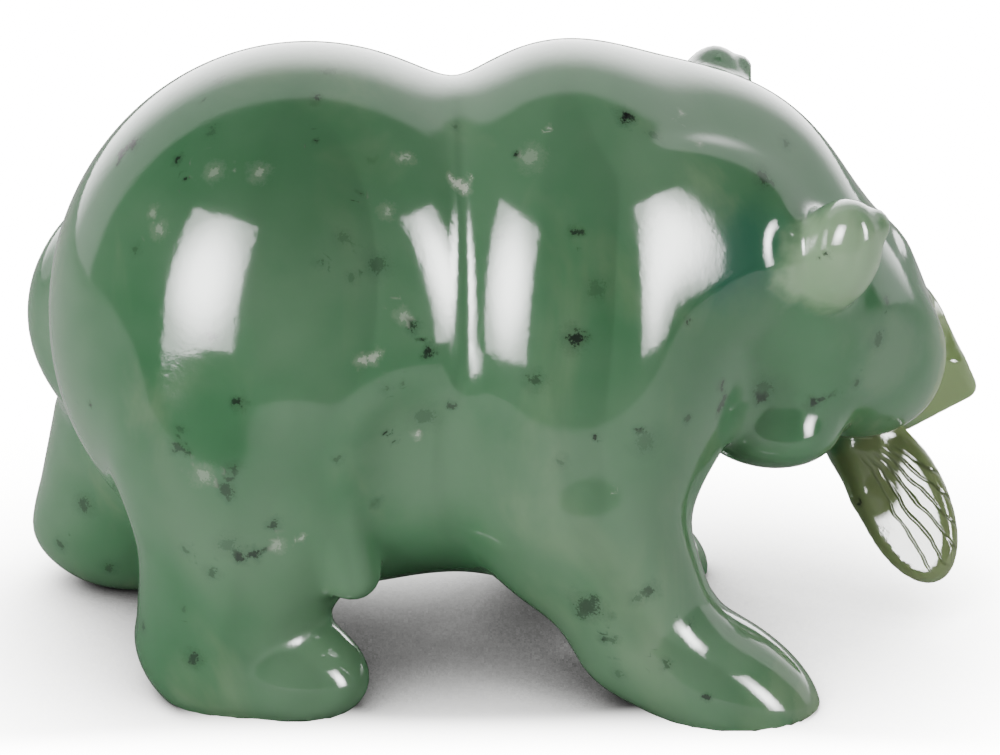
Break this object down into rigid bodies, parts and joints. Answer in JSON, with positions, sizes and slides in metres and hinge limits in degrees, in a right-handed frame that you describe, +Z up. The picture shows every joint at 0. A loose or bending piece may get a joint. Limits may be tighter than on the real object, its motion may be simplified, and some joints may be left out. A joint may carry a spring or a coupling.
{
  "type": "jade bear carving",
  "caption": "Polished green jade carving of a walking bear, its head turned and lowered, with a fish held crosswise in its mouth.",
  "frame": {"origin": "centre of the carving's box in plan, on the surface that its soles stand on", "axes": "+X the way the bear walks, +Y to its left, where the head turns, +Z up"},
  "size_m": [0.1578, 0.0858, 0.1],
  "materials": {
    "jade": "highly polished nephrite, deep green with cloudy paler areas and small black inclusions"
  },
  "bodies": {
    "root": {"jade_bear": "jade"}
  },
  "joints": []
}
